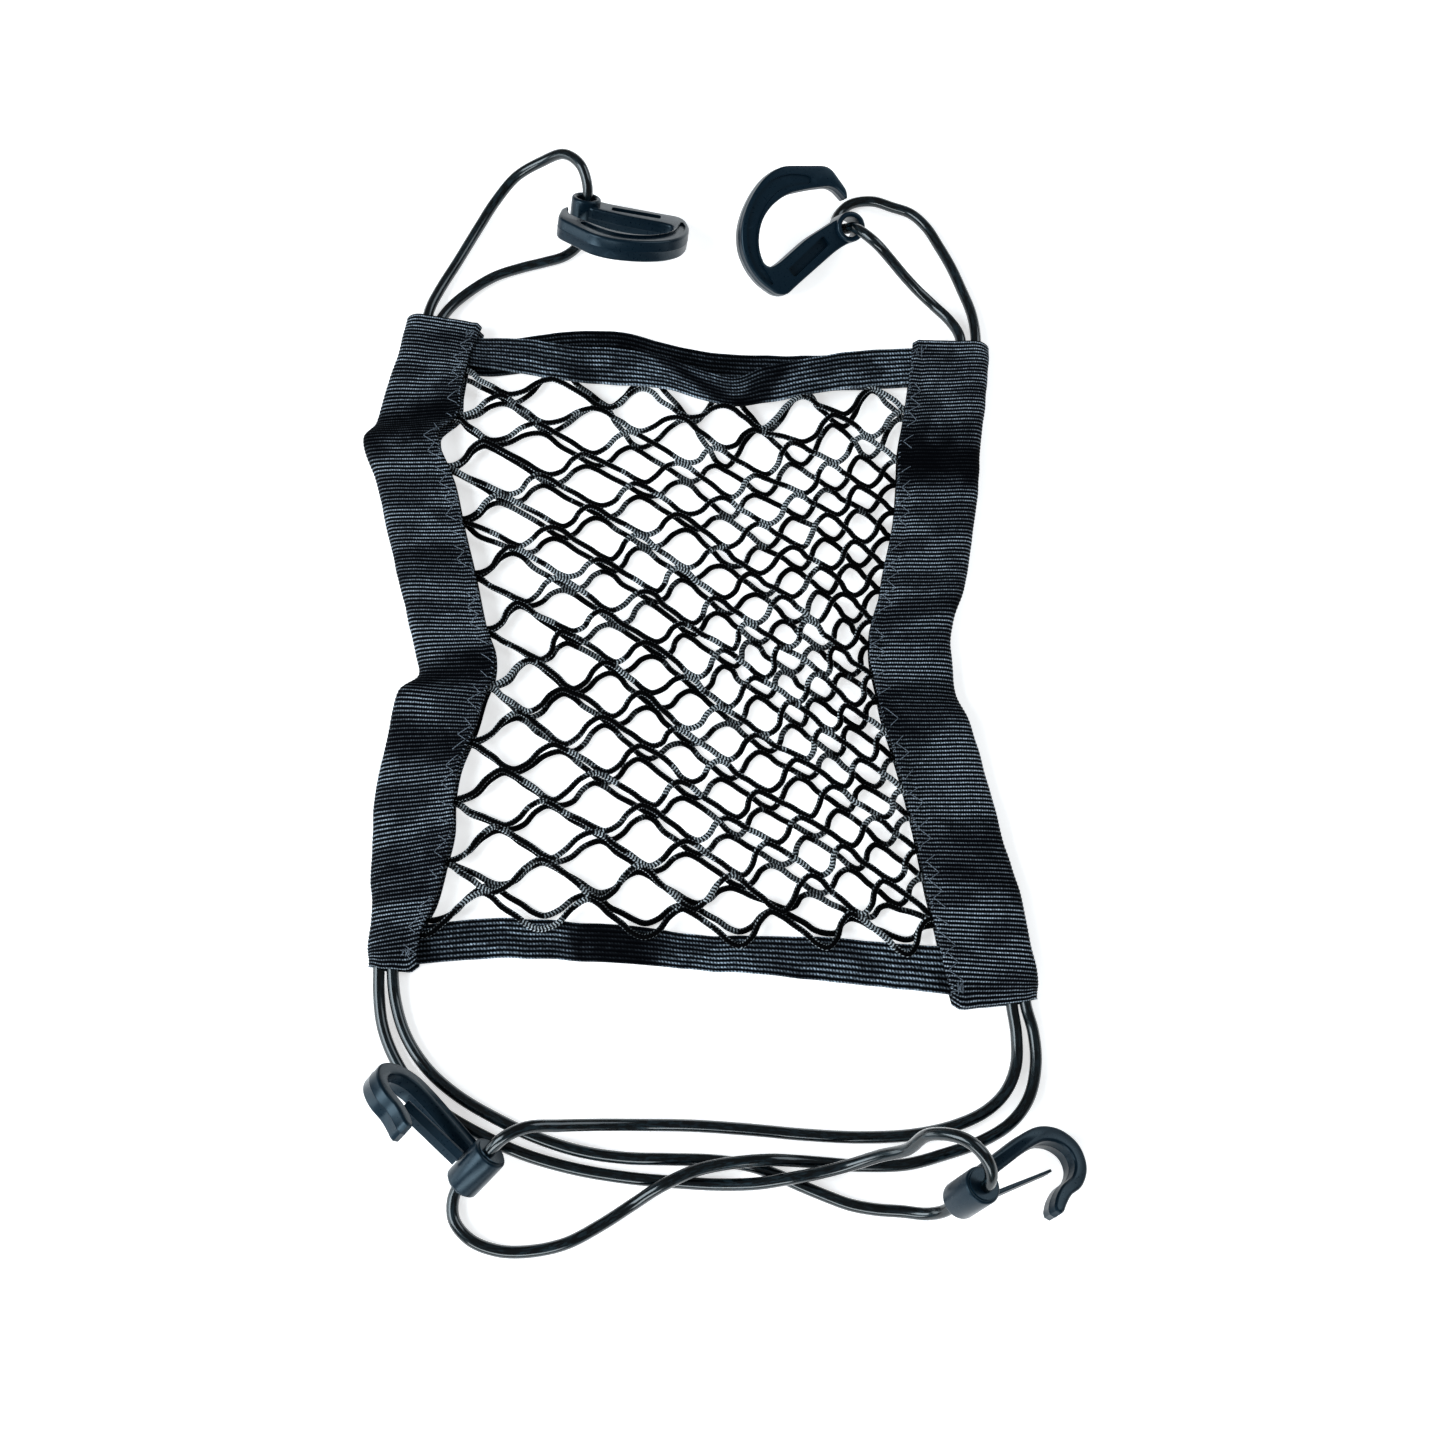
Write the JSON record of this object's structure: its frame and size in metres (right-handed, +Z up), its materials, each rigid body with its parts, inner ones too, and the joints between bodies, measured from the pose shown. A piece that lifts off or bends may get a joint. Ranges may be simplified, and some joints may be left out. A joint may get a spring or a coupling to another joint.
{
  "type": "seat back mesh organizer",
  "caption": "Flat net pocket between folded side bands, with an elastic mouth and foot, hung from a seat back by bungee loops with plastic hooks.",
  "frame": {"origin": "middle of the pocket without its cords and hooks, on the surface it lies on", "axes": "+X to the right, +Y towards the pocket's mouth, +Z up off the surface"},
  "size_m": [0.2463, 0.4028, 0.0414],
  "materials": {
    "tape": "ribbed tape",
    "elastic": "braided elastic",
    "net": "braided cord",
    "cord": "woven sheath",
    "plastic": "satin"
  },
  "bodies": {
    "organizer": {"side_band_left": "tape", "side_band_right": "tape", "mouth_elastic_front": "elastic", "mouth_elastic_back": "elastic", "foot_elastic": "elastic", "net_front_1": "net", "net_front_2": "net", "net_front_3": "net", "net_front_4": "net", "net_back_1": "net", "net_back_2": "net", "net_back_3": "net", "net_back_4": "net", "cord_top_left": "cord", "cord_top_right": "cord", "cord_bottom_left": "cord", "cord_bottom_right": "cord", "hook_top_left": "plastic", "hook_top_right": "plastic", "hook_bottom_left": "plastic", "hook_bottom_right": "plastic"},
    "left_tongue": {"tongue_bottom_left": "plastic"},
    "right_tongue": {"tongue_bottom_right": "plastic"}
  },
  "joints": [
    {"name": "left_tongue_hinge", "type": "hinge", "parent": "organizer", "child": "left_tongue", "pos_m": [-0.0695, -0.17924, 0.01333], "axis": [-0.6605, -0.6232, -0.4187], "range_deg": [0, 12], "stiffness_Nm_per_rad": 0.02},
    {"name": "right_tongue_hinge", "type": "hinge", "parent": "organizer", "child": "right_tongue", "pos_m": [0.09535, -0.19084, 0.02235], "axis": [0.3879, 0.2943, 0.8734], "range_deg": [0, 12], "stiffness_Nm_per_rad": 0.02}
  ]
}
